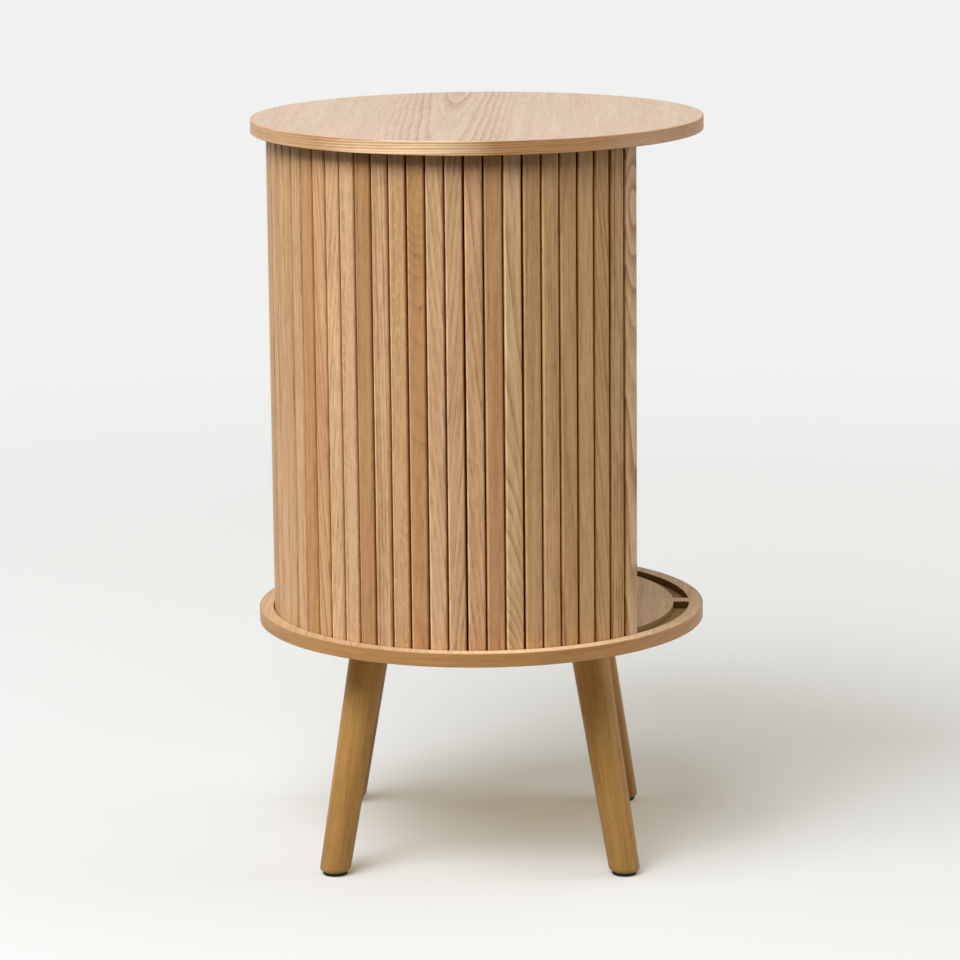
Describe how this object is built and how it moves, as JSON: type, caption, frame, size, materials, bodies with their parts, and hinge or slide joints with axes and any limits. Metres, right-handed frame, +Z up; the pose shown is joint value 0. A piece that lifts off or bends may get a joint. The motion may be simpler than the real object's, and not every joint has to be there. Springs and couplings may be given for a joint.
{
  "type": "bedside table with tambour door",
  "caption": "Round wooden bedside table on splayed tapered legs, with a tambour door of upright slats that runs round the drum in circular tracks.",
  "frame": {"origin": "on the floor under the centre of the round top", "axes": "+Z up, -Y the front of the table, +X to the right of someone facing the front"},
  "size_m": [0.4, 0.4, 0.66],
  "materials": {
    "board_veneer": "satin lacquered oak veneer",
    "edging_wood": "satin lacquered oak edging",
    "slat_wood": "satin lacquered oak, each slat of its own tone",
    "stop_wood": "oiled hardwood",
    "case_board": "satin oak veneered board",
    "leg_wood": "satin golden brown stained hardwood",
    "dowel_wood": "plain beech",
    "canvas": "plain woven cotton",
    "zinc_steel": "bright zinc",
    "glide_plastic": "matt black nylon"
  },
  "bodies": {
    "table": {"top_board": "board_veneer", "top_edging": "edging_wood", "top_stop_block": "stop_wood", "base_board": "board_veneer", "base_edging": "edging_wood", "base_stop_block": "stop_wood", "side_panel_left": "case_board", "side_panel_right": "case_board", "back_panel": "case_board", "shelf": "case_board", "cam_bolts": "zinc_steel", "cam_locks": "zinc_steel", "dowels": "dowel_wood", "shelf_pins": "zinc_steel", "leg_front_left": "leg_wood", "leg_front_right": "leg_wood", "leg_rear_right": "leg_wood", "leg_rear_left": "leg_wood", "leg_plates": "zinc_steel", "plate_screws": "zinc_steel", "hanger_bolts": "zinc_steel", "glides": "glide_plastic"},
    "tambour_door": {"door_canvas": "canvas", "slat_01": "slat_wood", "slat_02": "slat_wood", "slat_03": "slat_wood", "slat_04": "slat_wood", "slat_05": "slat_wood", "slat_06": "slat_wood", "slat_07": "slat_wood", "slat_08": "slat_wood", "slat_09": "slat_wood", "slat_10": "slat_wood", "slat_11": "slat_wood", "slat_12": "slat_wood", "slat_13": "slat_wood", "slat_14": "slat_wood", "slat_15": "slat_wood", "slat_16": "slat_wood", "slat_17": "slat_wood", "slat_18": "slat_wood", "slat_19": "slat_wood", "slat_20": "slat_wood", "slat_21": "slat_wood", "slat_22": "slat_wood", "slat_23": "slat_wood", "slat_24": "slat_wood", "slat_25": "slat_wood", "slat_26": "slat_wood", "slat_27": "slat_wood", "slat_28": "slat_wood", "slat_29": "slat_wood", "slat_30": "slat_wood", "slat_31": "slat_wood", "slat_32": "slat_wood", "slat_33": "slat_wood", "slat_34": "slat_wood", "slat_35": "slat_wood"}
  },
  "joints": [
    {"name": "tambour_door_round_track", "type": "hinge", "parent": "table", "child": "tambour_door", "pos_m": [0, 0, 0.43], "axis": [0, 0, 1], "range_deg": [-136.5, 39.5]}
  ]
}
